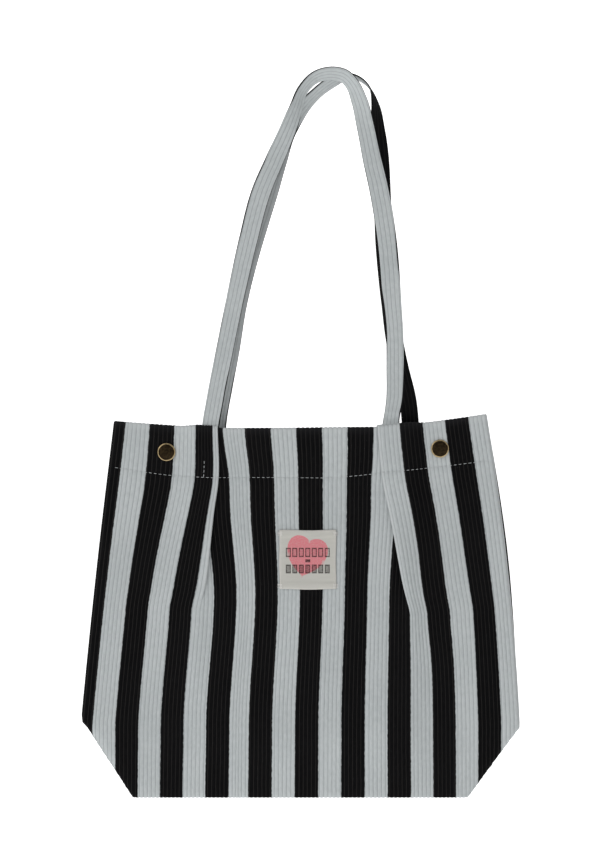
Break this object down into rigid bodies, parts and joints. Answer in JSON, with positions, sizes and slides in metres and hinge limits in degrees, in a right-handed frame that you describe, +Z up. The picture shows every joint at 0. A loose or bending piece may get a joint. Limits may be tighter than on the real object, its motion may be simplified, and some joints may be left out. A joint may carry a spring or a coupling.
{
  "type": "tote bag",
  "caption": "Soft striped corduroy tote bag with two long shoulder straps, a pleated turned hem, boxed lower corners and snap fasteners that close the mouth.",
  "frame": {"origin": "the point where a hook carries the two straps, under the top of their loops", "axes": "+Z up along the straps, -Y towards the viewer of the labelled front, +X to the right as seen from the front"},
  "size_m": [0.38, 0.0308, 0.6345],
  "materials": {
    "striped_corduroy": "wide-wale corduroy in black and light grey stripes",
    "strap_corduroy": "wide-wale corduroy, light grey face and black back",
    "label_cloth": "plain-woven cotton label with a printed heart",
    "sewing_thread": "light grey polyester thread",
    "overlock_edge": "white overlocked seam edge",
    "antique_brass": "antique brass, dark in the middle and worn bright at the rim",
    "spring_wire": "drawn spring wire"
  },
  "bodies": {
    "front_half": {"front_panel": "striped_corduroy", "front_strap_ends": "strap_corduroy", "label_patch": "label_cloth", "label_tacks": "sewing_thread", "front_hem_thread": "sewing_thread", "front_strap_tacks": "sewing_thread", "left_side_overlock": "overlock_edge", "right_side_overlock": "overlock_edge", "left_corner_overlock": "overlock_edge", "right_corner_overlock": "overlock_edge", "bottom_overlock": "overlock_edge", "left_snap_cap": "antique_brass", "right_snap_cap": "antique_brass", "left_snap_socket": "antique_brass", "right_snap_socket": "antique_brass", "left_snap_spring": "spring_wire", "right_snap_spring": "spring_wire"},
    "back_half": {"back_panel": "striped_corduroy", "back_strap_ends": "strap_corduroy", "back_hem_thread": "sewing_thread", "back_strap_tacks": "sewing_thread", "left_snap_stud": "antique_brass", "right_snap_stud": "antique_brass", "left_snap_post": "antique_brass", "right_snap_post": "antique_brass"},
    "front_handle": {"front_strap": "strap_corduroy"},
    "back_handle": {"back_strap": "strap_corduroy"}
  },
  "joints": [
    {"name": "mouth_open", "type": "hinge", "parent": "front_half", "child": "back_half", "pos_m": [-0.0285, 0, -0.624], "axis": [-1, 0, 0], "range_deg": [0, 8]},
    {"name": "front_strap_swing", "type": "hinge", "parent": "front_half", "child": "front_handle", "pos_m": [-0.0285, -0.009, -0.3045], "axis": [1, 0, 0], "range_deg": [0, 175]},
    {"name": "back_strap_swing", "type": "hinge", "parent": "back_half", "child": "back_handle", "pos_m": [-0.0165, 0.009, -0.3045], "axis": [-1, 0, 0], "range_deg": [0, 175]}
  ]
}
